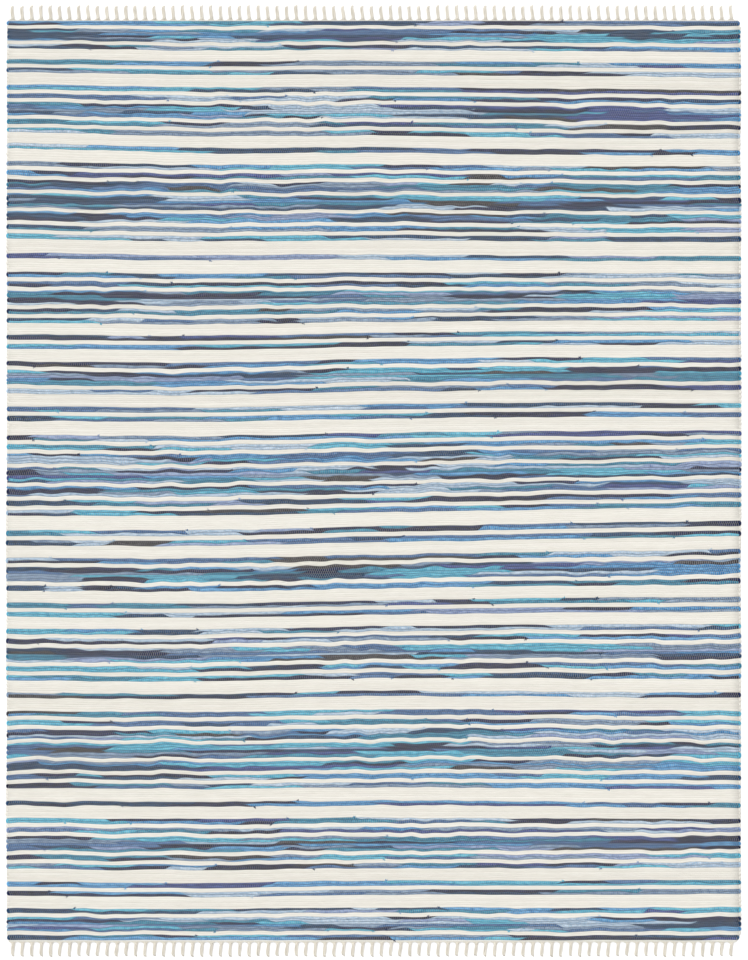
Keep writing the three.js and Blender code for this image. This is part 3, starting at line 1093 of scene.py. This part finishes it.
# One loose end: it leaves the knot, sinks to the floor or onto the ends below it in the
# first third, and fans out most a little before its middle. It leans to the left as it
# goes out, hooks back to the right in its last fifth, and is a little thicker at its tip.
def makeLooseEnd(number, offset, length, lean, dice):
    t = np.linspace(0, 1, 9)
    start = knot["out"] + looseEnd["start"]
    uneven = looseEnd["unevenness"]
    own = length + dice.uniform(-uneven, uneven) + offset * looseEnd["slant"]
    belly = np.sin(np.pi * np.clip(t * 1.15, 0, 1)) ** 0.7
    spread = fringe["bundle"] + (looseEnd["spread"] - fringe["bundle"]) * belly
    spread = spread + looseEnd["tipSpread"] * t
    wiggle = dice.uniform(-1, 1) * looseEnd["wiggle"]
    wiggle = wiggle * np.sin(np.pi * (t * 1.5 + dice.uniform(0, 1)))
    middle = fringe["root"] - looseEnd["leftward"] * np.clip(t / 0.85, 0, 1) + lean * t**2
    middle = middle + looseEnd["hook"] * np.clip((t - 0.82) / 0.18, 0, 1) ** 2
    upper = number % 2 == 0
    first, rest = looseEnd["upper" if upper else "lower"]
    height = first + (rest - first) * np.clip(t * 3, 0, 1) ** 0.7
    if upper:
        height = height - looseEnd["tipDrop"] * np.clip(t * 2 - 1, 0, 1)
    path = np.stack([middle + offset * spread + wiggle, start + (own - start) * t, height], axis=-1)
    radius = looseEnd["radius"] * (0.9 + 0.15 * np.clip(t * 5 - 4, 0, 1))
    return sweep(path, radius, radius, roundSection), t * 12


# All tassels of one end. The foot's are the head's turned over along y, so there each
# ring's points run the other way round to keep the faces outwards.
def buildFringe(end, seed):
    dice = np.random.default_rng(seed)
    side = 1 if end == "head" else -1
    offsets = np.linspace(-1, 1, fringe["yarns"])
    tubes = []
    for number in range(fringe["count"]):
        x = fringe["first"][end] + number * fringe["pitch"]
        length = fringe["length"] + dice.uniform(-1, 1) * fringe["lengthSpread"]
        lean = dice.uniform(-1, 1) * fringe["leanSpread"]
        yarns = [makeGather(offset) for offset in offsets] + [makeKnot()]
        for place, offset in enumerate(offsets):
            yarns.append(makeLooseEnd(place, offset, length, lean, dice))
        for rings, u in yarns:
            placed = rings * [1, side, 1] + [x, side * halfLength, 0]
            tubes.append(tube(placed if side > 0 else placed[:, ::-1], u, dice.uniform(), 0.0))
    name = "fringe_" + end
    piece, count = buildPiece(name + "_yarns", tubes, fringeMaterial)
    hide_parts(name)
    return piece, count


for end, seed in (("head", 11), ("foot", 12)):
    piece, count = buildFringe(end, seed)
    triangleCount += count
print("triangles in all:", triangleCount)

# a pale floor, even light with one soft lamp high on the left, and a camera straight above
studio = {
    "floor": (246, 246, 246),
    "floorReach": 90.0,
    "sky": 1.0,
    "lampStrength": 1.7,
    "lampSpread": 25.0,
    "lampTilt": (-38, -22),
    "cameraHeight": 8.85,
    "lens": 100.0,
    "centre": (0.0012, 0.0032),
}
floorMesh = bpy.data.meshes.new("floor")
reach = studio["floorReach"]
corners = [(-reach, -reach, 0), (reach, -reach, 0), (reach, reach, 0), (-reach, reach, 0)]
floorMesh.from_pydata(corners, [], [(0, 1, 2, 3)])
floorMaterial = bpy.data.materials.new("pale_floor")
floorMaterial.use_nodes = True
floorShader = floorMaterial.node_tree.nodes["Principled BSDF"]
floorShader.inputs["Base Color"].default_value = paint(*studio["floor"])
floorShader.inputs["Roughness"].default_value = 1.0
floorShader.inputs["Specular IOR Level"].default_value = 0.0
floorMesh.materials.append(floorMaterial)
floor = bpy.data.objects.new("floor", floorMesh)
bpy.context.scene.collection.objects.link(floor)

world = bpy.data.worlds.new("studio")
bpy.context.scene.world = world
world.use_nodes = True
background = world.node_tree.nodes["Background"]
background.inputs["Color"].default_value = (1.0, 1.0, 1.0, 1.0)
background.inputs["Strength"].default_value = studio["sky"]

lampData = bpy.data.lights.new("lamp", "SUN")
lampData.energy = studio["lampStrength"]
lampData.angle = np.radians(studio["lampSpread"])
lamp = bpy.data.objects.new("lamp", lampData)
lamp.rotation_euler = (*np.radians(studio["lampTilt"]), 0)
bpy.context.scene.collection.objects.link(lamp)

cameraData = bpy.data.cameras.new("camera")
cameraData.lens = studio["lens"]
cameraData.sensor_width = 36.0
cameraData.clip_end = 200.0
camera = bpy.data.objects.new("camera", cameraData)
camera.location = (*studio["centre"], studio["cameraHeight"])
bpy.context.scene.collection.objects.link(camera)
bpy.context.scene.camera = camera
bpy.context.scene.view_settings.view_transform = "Standard"
print("floor, light and camera set")
